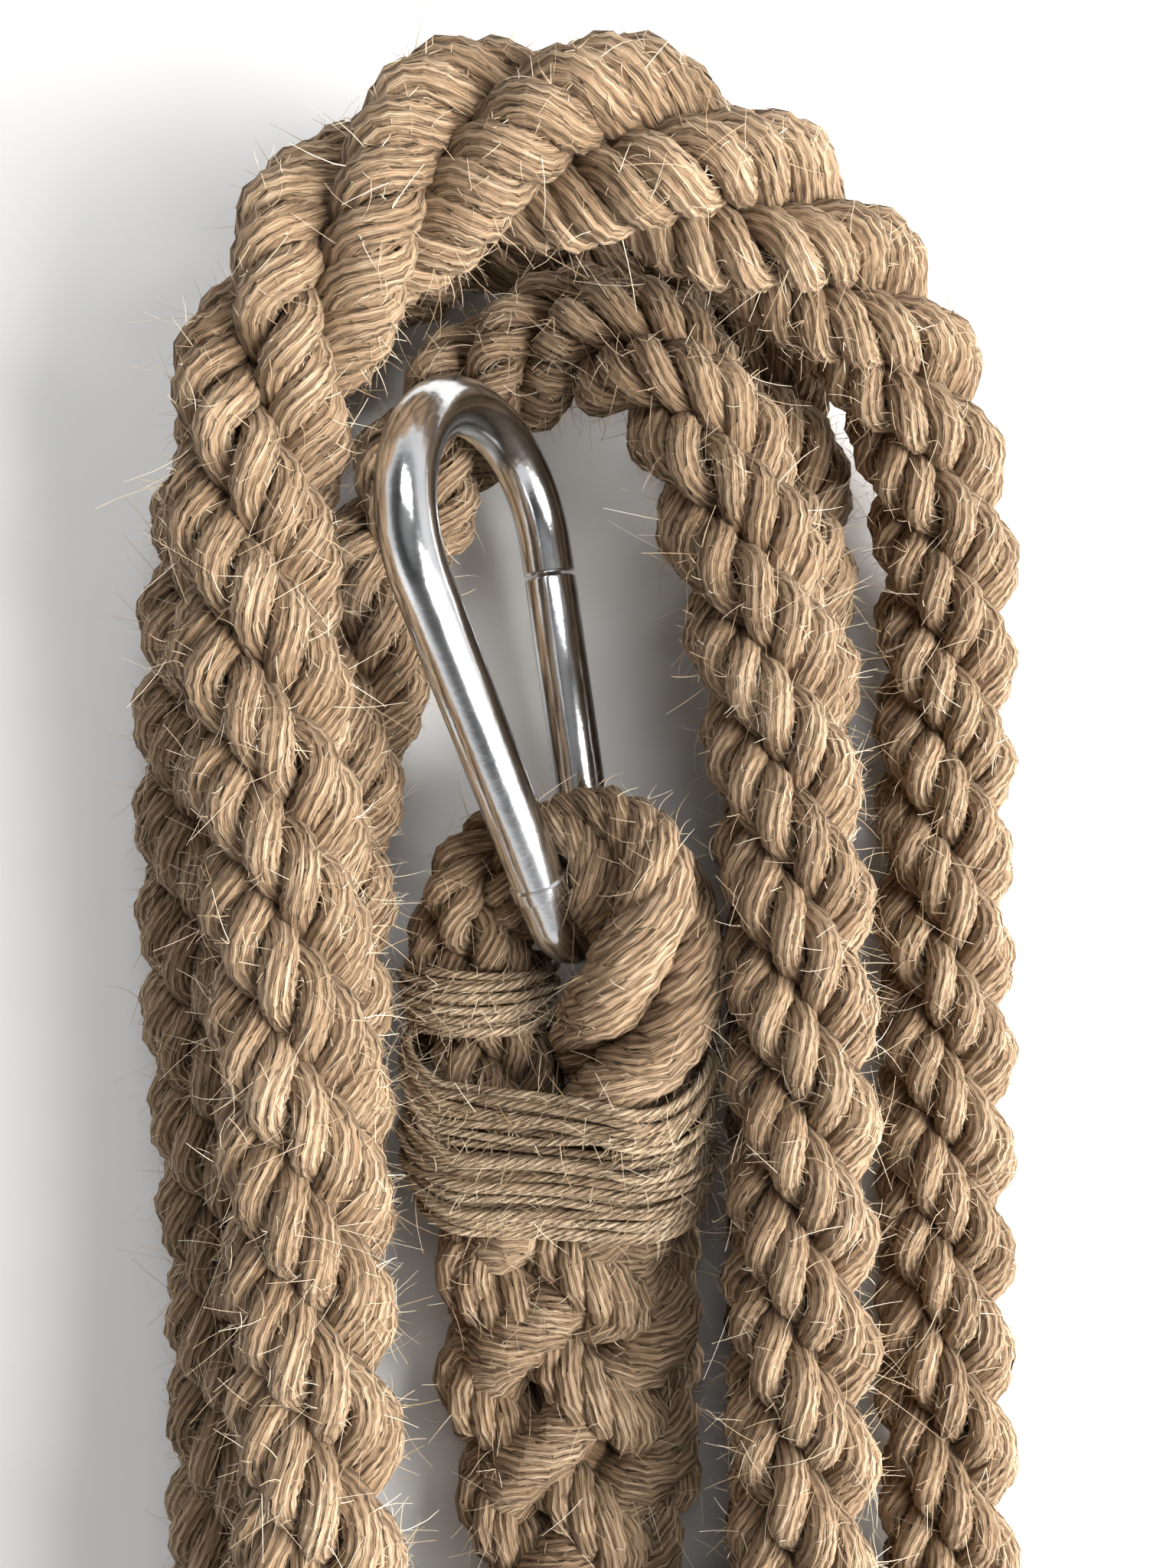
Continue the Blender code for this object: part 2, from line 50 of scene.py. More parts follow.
# The rope's route, from the foot of the eye's splice to the whipped end.
LEAD = [
    (-0.005, -0.212, 0.02), (-0.006, -0.232, 0.0175), (-0.014, -0.254, 0.0153),
    (-0.029, -0.268, 0.015), (-0.046, -0.27, 0.015), (-0.063, -0.258, 0.015),
]
LEFT_1 = [
    (-0.074, -0.234, 0.0153), (-0.0765, -0.208, 0.0185), (-0.077, -0.185, 0.02),
    (-0.0775, -0.16, 0.018), (-0.0788, -0.12, 0.015), (-0.0815, -0.08, 0.015), (-0.085, -0.04, 0.015),
    (-0.0862, 0.0, 0.015), (-0.084, 0.045, 0.015),
]
TOP_1 = [
    (-0.074, 0.084, 0.015), (-0.054, 0.11, 0.015), (-0.028, 0.1245, 0.015), (-0.003, 0.126, 0.015),
    (0.019, 0.1146, 0.015), (0.0346, 0.0942, 0.015),
]
RIGHT_1 = [
    (0.0425, 0.073, 0.015), (0.045, 0.048, 0.015), (0.046, 0.015, 0.015), (0.046, -0.06, 0.015),
    (0.046, -0.13, 0.015), (0.046, -0.16, 0.018), (0.046, -0.185, 0.02), (0.046, -0.205, 0.018),
]
BOTTOM_2 = [
    (0.0435, -0.23, 0.018), (0.032, -0.252, 0.026), (0.012, -0.265, 0.04), (-0.012, -0.262, 0.056),
    (-0.034, -0.241, 0.071),
]
LEFT_2 = [
    (-0.044, -0.208, 0.077), (-0.046, -0.16, 0.073), (-0.0475, -0.118, 0.0695),
    (-0.0505, -0.06, 0.068), (-0.0536, -0.017, 0.0675), (-0.057, 0.02, 0.068), (-0.0585, 0.045, 0.069),
]
TOP_2 = [
    (-0.055, 0.0695, 0.0715), (-0.0438, 0.0898, 0.0745), (-0.027, 0.104, 0.0752),
    (-0.008, 0.1095, 0.0745), (0.011, 0.109, 0.071), (0.029, 0.1045, 0.063), (0.046, 0.097, 0.0525),
    (0.0595, 0.087, 0.043), (0.0705, 0.0715, 0.0325), (0.077, 0.052, 0.0235),
]
RIGHT_2 = [
    (0.0793, 0.02, 0.016), (0.0798, -0.04, 0.015), (0.0798, -0.1, 0.015), (0.0796, -0.15, 0.0175),
    (0.0793, -0.185, 0.02), (0.078, -0.215, 0.022),
]
BOTTOM_3 = [
    (0.073, -0.246, 0.027), (0.058, -0.277, 0.035), (0.036, -0.297, 0.042), (0.008, -0.304, 0.047),
    (-0.02, -0.299, 0.05), (-0.043, -0.281, 0.052),
]
LEFT_3 = [
    (-0.055, -0.25, 0.05), (-0.057, -0.215, 0.046), (-0.0565, -0.185, 0.044), (-0.056, -0.15, 0.038),
    (-0.055, -0.1, 0.035), (-0.0553, -0.04, 0.0335), (-0.054, -0.008, 0.033), (-0.049, 0.018, 0.0315),
    (-0.044, 0.04, 0.028),
]
TOP_3 = [
    (-0.0395, 0.059, 0.0235), (-0.031, 0.078, 0.02), (-0.017, 0.091, 0.0215), (-0.001, 0.095, 0.0275),
    (0.0125, 0.086, 0.0366), (0.0233, 0.07, 0.043),
]
RIGHT_3 = [
    (0.03, 0.048, 0.045), (0.035, 0.024, 0.046), (0.0385, 0.0, 0.0462), (0.0414, -0.04, 0.0468),
    (0.0416, -0.1, 0.0468), (0.0414, -0.15, 0.0475), (0.0403, -0.185, 0.0505),
    (0.0405, -0.205, 0.0515), (0.041, -0.222, 0.0515),
]
# The eye: its left side, crown and right side.
EYE_LEFT = [
    (-0.0206, -0.09, 0.024), (-0.0216, -0.072, 0.0228), (-0.0233, -0.052, 0.021),
    (-0.024, -0.038, 0.0205),
]
EYE_CROWN = [
    (-0.024, -0.0365, 0.0205), (-0.0238, -0.031, 0.0209), (-0.0214, -0.023, 0.0233),
    (-0.0156, -0.0155, 0.0291), (-0.0067, -0.0107, 0.035), (0.0032, -0.0115, 0.0405),
    (0.0104, -0.02, 0.0436), (0.0118, -0.032, 0.0428), (0.0113, -0.0416, 0.0409),
    (0.0107, -0.0466, 0.0391),
]
EYE_RIGHT = [
    (0.0105, -0.048, 0.0385), (0.0084, -0.066, 0.0315), (0.0084, -0.08, 0.028), (0.0088, -0.09, 0.027),
]
# The splice: (x, y, z, half width, half height).
SPLICE = [
    (-0.0045, -0.093, 0.024, 0.0295, 0.0185), (-0.004, -0.11, 0.022, 0.031, 0.019),
    (-0.003, -0.135, 0.02, 0.0305, 0.019), (-0.0015, -0.155, 0.02, 0.028, 0.0186),
    (-0.003, -0.173, 0.0222, 0.0225, 0.017), (-0.0038, -0.192, 0.0218, 0.0185, 0.016),
    (-0.005, -0.209, 0.02, 0.015, 0.015),
]
# Where the rope leaves the splice, and where the eye's two sides go into it.
ROPE_FOOT = (-0.0048, -0.2050, 0.0200)
EYE_LEFT_FOOT = [(-0.0150, -0.1120, 0.0225), (-0.0185, -0.1010, 0.0240)]
EYE_RIGHT_FOOT = [(0.0060, -0.1010, 0.0240), (0.0030, -0.1120, 0.0225)]
ROPE_PHASE = 0.6
SPLICE_STRANDS = 4
SPLICE_PITCH = 0.105
SPLICE_PHASE = 0.5

TWINE_THICK = 0.0016
TIE_THICK = 0.0026
POINTS_PER_TURN = 72  # along one turn of twine
FLOOR_GAP = 0.0001  # least height of any yarn above the floor
HAIR_FLOOR_GAP = 0.0003

ROPE_NODES = (
    "rope_lead", "bottom_turn_1", "left_leg_1", "top_turn_1", "right_leg_1",
    "bottom_turn_2", "left_leg_2", "top_turn_2", "right_leg_2",
    "bottom_turn_3", "left_leg_3", "top_turn_3", "right_leg_3",
)
EYE_NODES = ("eye_left_side", "eye_crown", "eye_right_side", "eye_splice")

# The hook, in its own frame: the narrow end's centre is its origin.
WIRE_RADIUS = 0.0055
WIDE_RADIUS = 0.025
NARROW_RADIUS = 0.0105
CENTRES_APART = 0.0735
HOOK_PLACE = (-0.0035, -0.0217, 0.0312)
HOOK_TILT = math.radians(13.5)  # its length turned to the left, seen from above
HOOK_PITCH = math.radians(14.0)  # its wide end raised
HOOK_ROLL = math.radians(62.0)  # its gate side turned down about its length
NOSE_SHOULDER_AT = 0.066
NOSE_TIP_AT = 0.058
HINGE_SHOULDER_AT = 0.001
TONGUE_END_AT = 0.0132
GATE_START = 0.0042
GATE_END = 0.0654

# The camera looks straight down on the hank from 264 mm above the floor.
CAMERA_HEIGHT = 0.264
FOCAL_PIXELS = 1450.0
PICTURE_HEIGHT = 2048.0

ROPE_RADIUS = 0.015
OPEN_SCALE = 1.13  # how far the lay opens on the long top turn
ROPE_SWELL = 1.03  # the strands' outer fibres stand this far past the plain rope
EYE_THIN = 0.0105  # the eye's radius where the hook squeezes it, and elsewhere
EYE_FAT = 0.0164
EYE_PITCHES = 0.060, -0.095  # the lay of its left and right sides
STRAND_PITCH = 0.065  # one full turn of a strand, left handed
CORD_PITCH = 0.0215  # one full turn of a cord in its strand, right handed
STRAND_OUT = 7.35 / 15  # strand centre from the rope's axis, as a share of its radius
CORD_OUT = 4.40 / 15  # cord centre from its strand's centre
CORD_RADIUS = 3.30 / 15
ROPE_STEP = 0.0017
CORD_SIDES = 8
HAIRS = 11000  # in each of the rope's pieces of stray fibre
ROPE_HAIR_LENGTHS = (0.013, 0.009, 0.007, 0.005, 0.004)  # the longest fibre in each piece
OTHER_HAIR_LENGTH = 0.010
HAIR_ROWS = 4  # rings of points along one fibre

# The dark, middle and light of each fibre, and of its stray hairs.
ROPE_COLOURS = (0.062, 0.034, 0.015), (0.345, 0.222, 0.126), (0.74, 0.565, 0.385)
TWINE_COLOURS = (0.09, 0.052, 0.026), (0.40, 0.275, 0.165), (0.98, 0.80, 0.57)
HAIR_COLOURS = (0.42, 0.28, 0.15), (0.72, 0.55, 0.36), (0.95, 0.86, 0.68)

rng = np.random.default_rng(7)


# ---------------------------------------------------------------- lines


def to_row(points):
    """Points in the hank's frame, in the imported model's."""
    return np.array(points, float) - HANK_CENTRE


def smooth_line(points, per_span=16):
    """A centripetal Catmull-Rom curve through every point."""
    points = np.array(points, float)
    ends = np.vstack([2 * points[0] - points[1], points, 2 * points[-1] - points[-2]])
    line = []
    for p0, p1, p2, p3 in zip(ends, ends[1:], ends[2:], ends[3:]):
        chords = (p1 - p0, p2 - p1, p3 - p2)
        k = np.cumsum([0.0] + [math.sqrt(np.linalg.norm(chord)) for chord in chords])
        for t in np.linspace(k[1], k[2], per_span, endpoint=False):
            a1 = (p0 * (k[1] - t) + p1 * (t - k[0])) / (k[1] - k[0])
            a2 = (p1 * (k[2] - t) + p2 * (t - k[1])) / (k[2] - k[1])
            a3 = (p2 * (k[3] - t) + p3 * (t - k[2])) / (k[3] - k[2])
            b1 = (a1 * (k[2] - t) + a2 * (t - k[0])) / (k[2] - k[0])
            b2 = (a2 * (k[3] - t) + a3 * (t - k[1])) / (k[3] - k[1])
            line.append((b1 * (k[2] - t) + b2 * (t - k[1])) / (k[2] - k[1]))
    line.append(points[-1])
    return np.array(line)


def ease(share):
    """0 below 0, 1 above 1, and smooth between them."""
    share = np.clip(share, 0, 1)
    return share * share * (3 - 2 * share)


def lengths_along(line):
    """Each point's distance from the start, along the line."""
    return np.concatenate([[0.0], np.cumsum(np.linalg.norm(np.diff(line, axis=0), axis=1))])


def evenly(line, step):
    """The line read again at points about one step apart."""
    along = lengths_along(line)
    count = max(3, int(round(along[-1] / step)) + 1)
    at = np.linspace(0, along[-1], count)
    return np.column_stack([np.interp(at, along, line[:, k]) for k in range(3)])


def unit(vectors):
    return vectors / np.maximum(np.linalg.norm(vectors, axis=-1, keepdims=True), 1e-12)


def carried_frames(line):
    """Tangents, and two normals that turn no more than the line does."""
    tangents = unit(np.gradient(line, axis=0))
    start = np.array([0.0, 0.0, 1.0])
    if abs(tangents[0] @ start) > 0.9:
        start = np.array([1.0, 0.0, 0.0])
    normals = np.empty_like(line)
    carried = start
    for i, tangent in enumerate(tangents):
        carried = carried - tangent * (carried @ tangent)
        carried = carried / np.linalg.norm(carried)
        normals[i] = carried
    return tangents, normals, np.cross(tangents, normals)


def wobble(along, spacing, size):
    """A smooth random wave along a line, from -size to size."""
    count = max(4, int(along[-1] / spacing) + 3)
    knots = rng.uniform(-size, size, count)
    at = along / max(along[-1], 1e-9) * (count - 2)
    low = at.astype(int)
    part = at - low
    part = part * part * (3 - 2 * part)
    return knots[low] * (1 - part) + knots[low + 1] * part


# ---------------------------------------------------------------- meshes


class Yarns:
    """Vertices, faces, fibre coordinates and painted shade of many round yarns, gathered for one mesh."""

    def __init__(self):
        self.points = []
        self.faces = []
        self.fibre = []
        self.shade = []
        self.tone = []
        self.count = 0

    def add(self, line, radius, inward, sides, shade, caps=True):
        """One yarn. inward is a direction at each point, where its fibre seam is hidden. shade is the
        painted shade of each ring, 0 the darkest and 1 unshaded.
        """
        rows = len(line)
        along = lengths_along(line)
        tangents = unit(np.gradient(line, axis=0))
        inward = unit(inward - tangents * (inward * tangents).sum(1, keepdims=True))
        side = np.cross(tangents, inward)
        turns = 2 * math.pi * np.arange(sides)[None, :, None] / sides
        radius = np.broadcast_to(radius, (rows,))
        ring = inward[:, None] * np.cos(turns) + side[:, None] * np.sin(turns)
        points = line[:, None] + ring * radius[:, None, None]
        index = self.count + np.arange(rows * sides).reshape(rows, sides)
        after = np.roll(index, -1, axis=1)
        quads = np.stack([index[:-1], after[:-1], after[1:], index[1:]], axis=-1).reshape(-1, 4)
        u = np.broadcast_to(along[:, None], (rows, sides))
        v = np.broadcast_to(np.arange(sides) / sides, (rows, sides))
        next_v = v + 1 / sides
        corner_u = np.stack([u[:-1], u[:-1], u[1:], u[1:]], axis=-1).reshape(-1, 4)
        corner_v = np.stack([v[:-1], next_v[:-1], next_v[1:], v[1:]], axis=-1).reshape(-1, 4)
        ring_shade = np.broadcast_to(shade, (rows,))
        self.points.append(points.reshape(-1, 3))
        self.faces.append(quads)
        self.fibre.append(np.stack([corner_u, corner_v], axis=-1).reshape(-1, 2))
        self.shade.append(np.repeat(ring_shade, sides))
        self.tone.append(np.full(rows * sides, rng.uniform(0, 1)))
        self.count += rows * sides
        if caps:
            for row, way in ((0, -1), (rows - 1, 1)):
                tip = line[row] + tangents[row] * way * radius[row] * 0.5
                self.points.append(tip[None])
                rim = (index[row], after[row])[::way]
                tips = np.full(sides, self.count)
                self.faces.append(np.stack([*rim, tips, tips], axis=-1))
                self.fibre.append(np.tile([along[row], 0.5], (sides * 4, 1)))
                # the cap's tip gets a middling painted shade
                self.shade.append(np.full(1, 0.6))
                self.tone.append(np.full(1, 0.5))
                self.count += 1

    def build(self, name, material, slot, *stands_for):
        """The yarns as one piece that takes the place of the CAD nodes named in stands_for."""
        points = np.concatenate(self.points)
        points[:, 2] = np.maximum(points[:, 2], FLOOR_GAP)
        faces = np.concatenate(self.faces)
        fibre = np.concatenate(self.fibre)
        flat = faces[:, 2] == faces[:, 3]
        sizes = np.where(flat, 3, 4)
        keep = np.ones(faces.shape, bool)
        keep[flat, 3] = False
        mesh = bpy.data.meshes.new(name)
        mesh.vertices.add(len(points))
        mesh.vertices.foreach_set("co", points.astype(np.float32).reshape(-1))
        mesh.loops.add(int(sizes.sum()))
        mesh.loops.foreach_set("vertex_index", faces[keep].astype(np.int32))
        mesh.polygons.add(len(faces))
        starts = np.concatenate([[0], np.cumsum(sizes)[:-1]])
        mesh.polygons.foreach_set("loop_start", starts.astype(np.int32))
        mesh.polygons.foreach_set("loop_total", sizes.astype(np.int32))
        mesh.update(calc_edges=True)
        layer = mesh.uv_layers.new(name="fibre")
        layer.data.foreach_set("uv", fibre.reshape(-1, 4, 2)[keep].astype(np.float32).reshape(-1))
        for label, values in (("shade", self.shade), ("tone", self.tone)):
            attribute = mesh.attributes.new(label, "FLOAT", "POINT")
            attribute.data.foreach_set("value", np.concatenate(values).astype(np.float32))
        mesh.validate()
        mesh.shade_smooth()
        piece = place(name, mesh, material)
        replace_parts(piece, *stands_for)
        return piece


def place(name, mesh, material, body="hank"):
    """A mesh as one of the object's pieces, riding on a body."""
    mesh.materials.append(material)
    piece = bpy.data.objects.new(name, mesh)
    bpy.context.scene.collection.objects.link(piece)
    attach(piece, body)
    return piece


def strand_of_cords(yarns, centre, out, across, along, radius, phase, sides):
    """Four cords laid right handed round a strand's centre line. out and across are its turning axes."""
    for k in range(4):
        turn = phase + math.pi / 2 * k + 2 * math.pi * along / CORD_PITCH + wobble(along, 0.05, 0.22)
        spread = CORD_OUT * radius * (1 + wobble(along, 0.04, 0.09))
        way = out * np.cos(turn)[:, None] + across * np.sin(turn)[:, None]
        line = centre + way * spread[:, None]
        thick = CORD_RADIUS * radius * (1 + wobble(along, 0.02, 0.06))
        # Painted shade: 1 while the cord lies on the outer side of its strand, 0 while it is turned in
        # towards the strand's centre.
        shade = 0.5 + 0.5 * np.cos(turn)
        yarns.add(line, thick, -way, sides, shade)
    # A thin core along the strand's centre with full painted shade, so the gaps between its cords look
    # dark.
    yarns.add(centre, radius * 0.11, out, 5, 0.0, caps=False)


def cable(yarns, line, radius, sides, pitch=STRAND_PITCH, phase=0.0, flat=None):
    """Three strands of four cords, laid left handed along a line.

    radius is the rope's own at each point. flat is (direction, shares) where the rope is squeezed:
    along that direction its width is multiplied by the share.
    """
    along = lengths_along(line)
    radius = np.broadcast_to(radius, along.shape)
    _, normals, others = carried_frames(line)
    turns_made = np.cumsum(np.diff(along) / np.broadcast_to(pitch, along.shape)[1:])
    turning = -2 * math.pi * np.concatenate([[0.0], turns_made])
    for k in range(3):
        turn = phase + 2 * math.pi / 3 * k + turning + wobble(along, 0.09, 0.05)
        out = normals * np.cos(turn)[:, None] + others * np.sin(turn)[:, None]
        across = others * np.cos(turn)[:, None] - normals * np.sin(turn)[:, None]
        reach = STRAND_OUT * radius * (1 + wobble(along, 0.06, 0.03))
        offset = out * reach[:, None]
        if flat is not None:
            way, share = flat
            part = offset @ way
            offset = offset - way * (part * (1 - share))[:, None]
        strand_of_cords(yarns, line + offset, out, across, along, radius, 1.3 * k, sides)
    # A thin core along the rope's axis with full painted shade, so the gaps between the strands look
    # dark.
    yarns.add(line, radius * 0.2, normals, 5, 0.0, caps=False)


# ---------------------------------------------------------------- materials


class Nodes:
    """A material's node tree, written as calls."""

    def __init__(self, name):
        self.material = bpy.data.materials.new(name)
        self.material.use_nodes = True
        self.tree = self.material.node_tree
        self.shader = self.tree.nodes["Principled BSDF"]

    def put(self, value, socket):
        if isinstance(value, bpy.types.NodeSocket):
            self.tree.links.new(value, socket)
        else:
            socket.default_value = value

    def maths(self, kind, a, b=0.0, c=0.0):
        node = self.tree.nodes.new("ShaderNodeMath")
        node.operation = kind
        for value, socket in zip((a, b, c), node.inputs):
            self.put(value, socket)
        return node.outputs[0]

    def noise(self, vector, scale, detail=3.0, rough=0.5):
        node = self.tree.nodes.new("ShaderNodeTexNoise")
        self.put(vector, node.inputs["Vector"])
        node.inputs["Scale"].default_value = scale
        node.inputs["Detail"].default_value = detail
        node.inputs["Roughness"].default_value = rough
        return node.outputs[0]

    def vector(self, x, y, z):
        node = self.tree.nodes.new("ShaderNodeCombineXYZ")
        for value, socket in zip((x, y, z), node.inputs):
            self.put(value, socket)
        return node.outputs[0]

    def ramp(self, value, stops):
        node = self.tree.nodes.new("ShaderNodeValToRGB")
        self.put(value, node.inputs[0])
        ramp = node.color_ramp
        while len(ramp.elements) < len(stops):
            ramp.elements.new(0.5)
        for element, (at, colour) in zip(ramp.elements, stops):
            element.position = at
            element.color = (*colour, 1)
        return node.outputs[0]

    def mix(self, kind, share, a, b):
        node = self.tree.nodes.new("ShaderNodeMix")
        node.data_type = "RGBA"
        node.blend_type = kind
        self.put(share, node.inputs[0])
        self.put(a, node.inputs[6])
        self.put(b, node.inputs[7])
        return node.outputs[2]

    def bump(self, height, distance, under=None):
        node = self.tree.nodes.new("ShaderNodeBump")
        node.inputs["Distance"].default_value = distance
        self.put(height, node.inputs["Height"])
        if under is not None:
            self.put(under, node.inputs["Normal"])
        return node.outputs[0]

    def attribute(self, name):
        node = self.tree.nodes.new("ShaderNodeAttribute")
        node.attribute_name = name
        return node.outputs["Fac"]

    def fibre(self):
        node = self.tree.nodes.new("ShaderNodeUVMap")
        node.uv_map = "fibre"
        split = self.tree.nodes.new("ShaderNodeSeparateXYZ")
        self.tree.links.new(node.outputs[0], split.inputs[0])
        return split.outputs[0], split.outputs[1]

    def where(self):
        return self.tree.nodes.new("ShaderNodeTexCoord").outputs["Object"]


def fibre_material(name, girth, stripe_count, slant, colours):
    """Raw bast fibre. girth is the yarn's way round in metres, and slant the tangent of its twist."""
    dark, middle, light = colours
    n = Nodes(name)
    u, v = n.fibre()
    round_it = n.maths("MULTIPLY", v, girth)
    skewed = n.maths("MULTIPLY_ADD", u, slant, round_it)
    straight = n.maths("MULTIPLY_ADD", round_it, -slant, u)
    tone = n.attribute("tone")
    shade = n.attribute("shade")
    place_x = n.maths("MULTIPLY", skewed, 1 / 0.00022)
    place_y = n.maths("MULTIPLY", straight, 1 / 0.006)
    hairs = n.noise(n.vector(place_x, place_y, n.maths("MULTIPLY", tone, 37.0)), 1.0, 4.0, 0.65)
    coarse_x = n.maths("MULTIPLY", skewed, 1 / 0.0009)
    coarse_y = n.maths("MULTIPLY", straight, 1 / 0.011)
    bundles = n.noise(n.vector(coarse_x, coarse_y, n.maths("MULTIPLY", tone, 11.0)), 1.0, 2.0, 0.5)
    drift = n.maths("MULTIPLY", bundles, 1.6)
    angle = n.maths("MULTIPLY_ADD", skewed, 2 * math.pi * stripe_count / girth, drift)
    stripes = n.maths("MULTIPLY_ADD", n.maths("SINE", angle), 0.5, 0.5)
    stripes = n.maths("POWER", stripes, 0.6)
    patches = n.noise(n.where(), 42.0, 3.0, 0.6)
    specks = n.noise(n.where(), 420.0, 2.0, 0.5)
    level = n.maths("MULTIPLY_ADD", hairs, 1.5, -0.47)
    level = n.maths("MULTIPLY_ADD", stripes, 0.20, level)
    level = n.maths("MULTIPLY_ADD", patches, 0.35, level)
    level = n.maths("MULTIPLY_ADD", specks, 0.15, level)
    level = n.maths("MULTIPLY_ADD", tone, 0.12, level)
    level = n.maths("ADD", level, -0.28)
    colour = n.ramp(level, [(0.08, dark), (0.42, middle), (0.80, light)])
    # Painted shade: the shade attribute darkens the fibre colour to about 0.4 on cords turned in towards
    # their strand's centre and on the dark cores, while the outer cords keep their full colour.
    depth = n.ramp(shade, [(0.0, (0.42, 0.36, 0.30)), (0.45, (0.84, 0.81, 0.77)), (1.0, (1.0, 1.0, 1.0))])
    colour = n.mix("MULTIPLY", 1.0, colour, depth)
    n.put(colour, n.shader.inputs["Base Color"])
    n.put(n.maths("MULTIPLY_ADD", hairs, -0.25, 0.92), n.shader.inputs["Roughness"])
    n.shader.inputs["Specular IOR Level"].default_value = 0.35
    n.shader.inputs["Sheen Weight"].default_value = 0.18
    n.shader.inputs["Sheen Roughness"].default_value = 0.45
    n.shader.inputs["Sheen Tint"].default_value = (1.0, 0.86, 0.66, 1)
    ridges = n.bump(stripes, 0.0008)
    strands = n.bump(bundles, 0.0006, ridges)
    n.put(n.bump(hairs, 0.0004, strands), n.shader.inputs["Normal"])
    return n.material


def hair_material():
    """Single pale fibres, each with its own tone."""
    n = Nodes("jute_hair")
    tone = n.attribute("tone")
    colour = n.ramp(tone, list(zip((0.0, 0.4, 1.0), HAIR_COLOURS)))
    n.put(colour, n.shader.inputs["Base Color"])
    n.shader.inputs["Roughness"].default_value = 0.6
    n.shader.inputs["Specular IOR Level"].default_value = 0.4
    return n.material


def zinc_material():
    """Bright zinc: polished, with fine drawing marks and faint clouding."""
    n = Nodes("bright_zinc")
    where = n.where()
    clouds = n.noise(where, 60.0, 4.0, 0.6)
    marks = n.noise(where, 900.0, 3.0, 0.6)
    colour = n.ramp(clouds, [(0.3, (0.60, 0.61, 0.62)), (0.7, (0.78, 0.785, 0.79))])
    n.put(colour, n.shader.inputs["Base Color"])
    n.shader.inputs["Metallic"].default_value = 1.0
    rough = n.maths("MULTIPLY_ADD", clouds, 0.16, 0.06)
    n.put(n.maths("MULTIPLY_ADD", marks, 0.06, rough), n.shader.inputs["Roughness"])
    n.put(n.bump(marks, 0.00002, n.bump(clouds, 0.00025)), n.shader.inputs["Normal"])
    return n.material


# ---------------------------------------------------------------- camera, floor and light


def add_camera():
    """A camera above the hank that looks straight down."""
    data = bpy.data.cameras.new("camera")
    data.sensor_fit = "VERTICAL"
    data.sensor_height = 36.0
    data.lens = FOCAL_PIXELS / PICTURE_HEIGHT * data.sensor_height
    data.clip_start = 0.005
    camera = bpy.data.objects.new("camera", data)
    camera.location = to_row([0, 0, CAMERA_HEIGHT])
    bpy.context.scene.collection.objects.link(camera)
    bpy.context.scene.camera = camera


def add_light(name, location, target, size, power, colour=(1, 1, 1)):
    """A rectangular area light, aimed at target."""
    data = bpy.data.lights.new(name, "AREA")
    data.shape = "RECTANGLE"
    data.size = size[0]
    data.size_y = size[1]
    data.energy = power
    data.color = colour
    light = bpy.data.objects.new(name, data)
    light.location = location
    light.rotation_euler = (Vector(target) - Vector(location)).to_track_quat("-Z", "Y").to_euler()
    bpy.context.scene.collection.objects.link(light)


# ---------------------------------------------------------------- hook


def hook_axes():
    """The hook's own axes: across it towards the gate, along it to the wide end, and square to both."""
    flat_length = math.cos(HOOK_PITCH)
    left = math.sin(HOOK_TILT) * flat_length
    away = math.cos(HOOK_TILT) * flat_length
    along = np.array([-left, away, math.sin(HOOK_PITCH)])
    level = unit(np.cross(along, [0, 0, 1]))
    up = np.cross(level, along)
    across = level * math.cos(HOOK_ROLL) - up * math.sin(HOOK_ROLL)
    return across, along, np.cross(across, along)


ACROSS_HOOK, ALONG_HOOK, HOOK_NORMAL = hook_axes()
TAPER = math.asin((WIDE_RADIUS - NARROW_RADIUS) / CENTRES_APART)
GATE_FOOT = np.array([NARROW_RADIUS * math.cos(TAPER), -NARROW_RADIUS * math.sin(TAPER), 0])
GATE_WAY = np.array([math.sin(TAPER), math.cos(TAPER), 0])
GATE_OUT = np.array([math.cos(TAPER), -math.sin(TAPER), 0])


def on_gate(along, out=0.0, side=0.0):
    """A point in the hook's frame, by its place along the gate's line."""
    return GATE_FOOT + GATE_WAY * along + GATE_OUT * out + np.array([0, 0, side])


def from_hook(points):
    """Points in the hook's frame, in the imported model's."""
    axes = np.array([ACROSS_HOOK, ALONG_HOOK, HOOK_NORMAL])
    return to_row(HOOK_PLACE) + np.asarray(points, float) @ axes


def arc(centre_y, radius, start, end, count):
    """Points round a bend of the hook, from one angle to another."""
    turns = np.linspace(start, end, count)
    return [np.array([radius * math.cos(t), centre_y + radius * math.sin(t), 0]) for t in turns]


def bar(path, radii, sides=48):
    """(vertices, faces) of a round bar along a path in the hook's plane."""
    path = np.array(path)
    ahead = unit(np.gradient(path, axis=0))
    out = np.column_stack([ahead[:, 1], -ahead[:, 0], np.zeros(len(path))])
    turns = 2 * math.pi * (np.arange(sides) + 0.5) / sides
    turns = turns[None, :, None]
    spokes = out[:, None] * np.cos(turns) + np.array([0, 0, 1.0]) * np.sin(turns)
    points = path[:, None] + spokes * np.array(radii)[:, None, None]
    index = np.arange(len(path) * sides).reshape(len(path), sides)
    after = np.roll(index, -1, axis=1)
    quads = np.stack([index[:-1], after[:-1], after[1:], index[1:]], axis=-1).reshape(-1, 4).tolist()
    return points.reshape(-1, 3), quads + [index[0][::-1].tolist(), index[-1].tolist()]


def straight(start, end, radius, soft=0.0006):
    """A bar's path and radii between two places on the gate's line, its ends rounded off."""
    places = [start, start + soft * 0.3, start + soft, end - soft, end - soft * 0.3, end]
    radii = [radius - soft, radius - soft * 0.3, radius, radius, radius - soft * 0.3, radius - soft]
    return [on_gate(at) for at in places], radii


